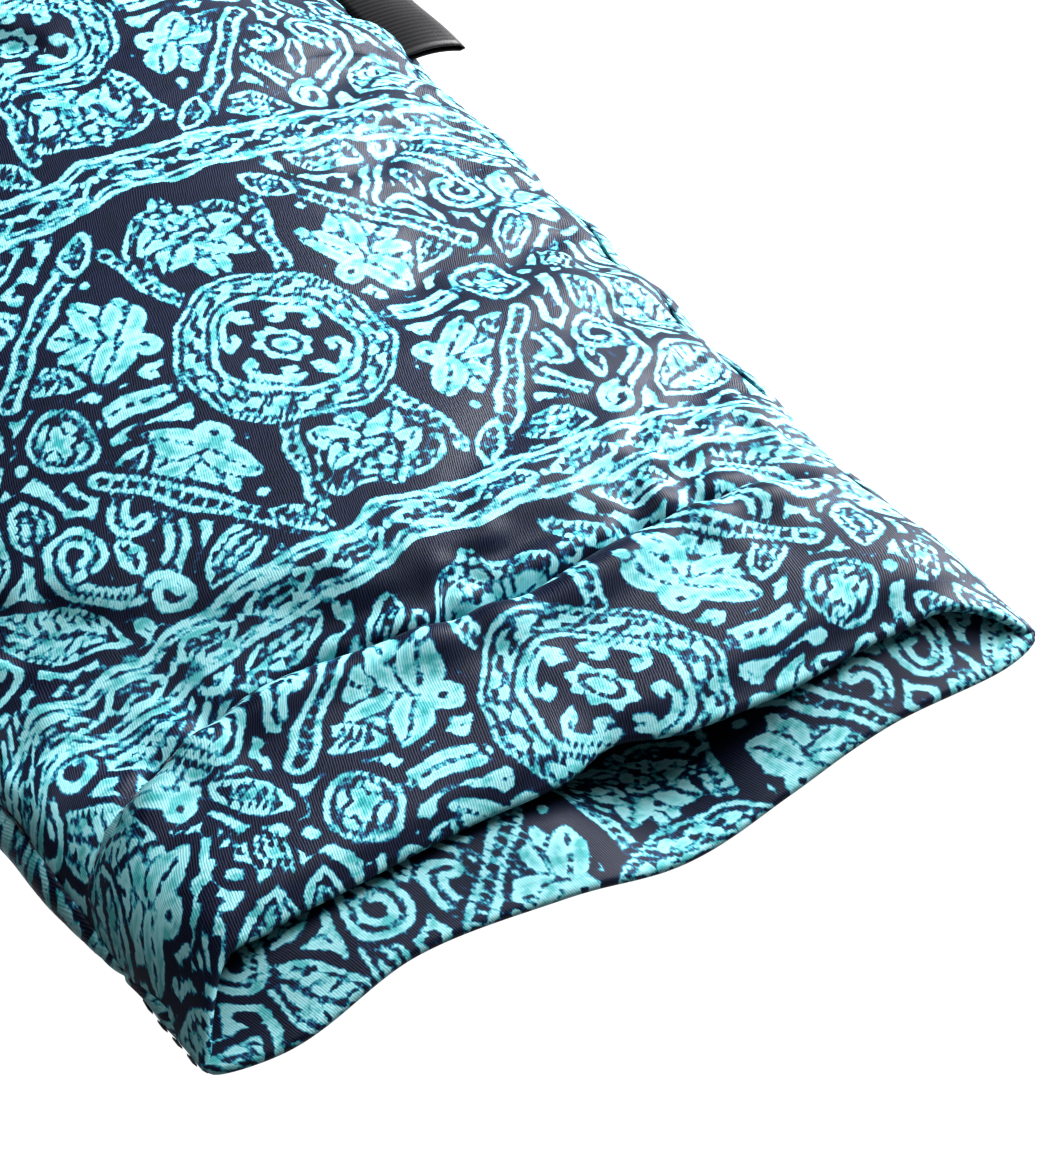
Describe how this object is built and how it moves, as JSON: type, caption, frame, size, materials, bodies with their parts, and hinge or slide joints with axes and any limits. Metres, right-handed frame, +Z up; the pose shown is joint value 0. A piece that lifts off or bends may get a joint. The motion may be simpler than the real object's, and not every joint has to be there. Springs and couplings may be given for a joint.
{
  "type": "eye pillow",
  "caption": "Soft rectangular eye pillow: a printed sateen cover, open at one hemmed end, with a seed-filled inner pillow that slides out for washing the cover.",
  "frame": {"origin": "on the flat underside of the cover's back panel, midway along its length and across its width", "axes": "+X out of the open mouth along the pillow's length, +Y towards the side seam that holds the label, +Z up from the table"},
  "size_m": [0.2404, 0.1072, 0.02],
  "materials": {
    "printed_sateen": "satin weave, printed turquoise on navy",
    "navy_thread": "matt sewing thread",
    "black_ribbon": "woven satin ribbon",
    "lining_cotton": "plain weave cotton",
    "lining_thread": "matt sewing thread",
    "flax_seed": "smooth glossy seeds"
  },
  "bodies": {
    "cover": {"cover_front_panel": "printed_sateen", "cover_back_panel": "printed_sateen", "left_seam_stitching": "navy_thread", "right_seam_stitching": "navy_thread", "end_seam_stitching": "navy_thread", "front_hem_stitching": "navy_thread", "back_hem_stitching": "navy_thread", "side_label": "black_ribbon"},
    "inner_pillow": {"inner_front_panel": "lining_cotton", "inner_back_panel": "lining_cotton", "inner_seam_stitching": "lining_thread", "inner_closing_stitching": "lining_thread", "seed_fill": "flax_seed"}
  },
  "joints": [
    {"name": "inner_pillow_slide", "type": "slide", "parent": "cover", "child": "inner_pillow", "axis": [1, 0, 0], "range_m": [0, 0.24], "deforming": ["cover_front_panel", "front_hem_stitching"]}
  ]
}
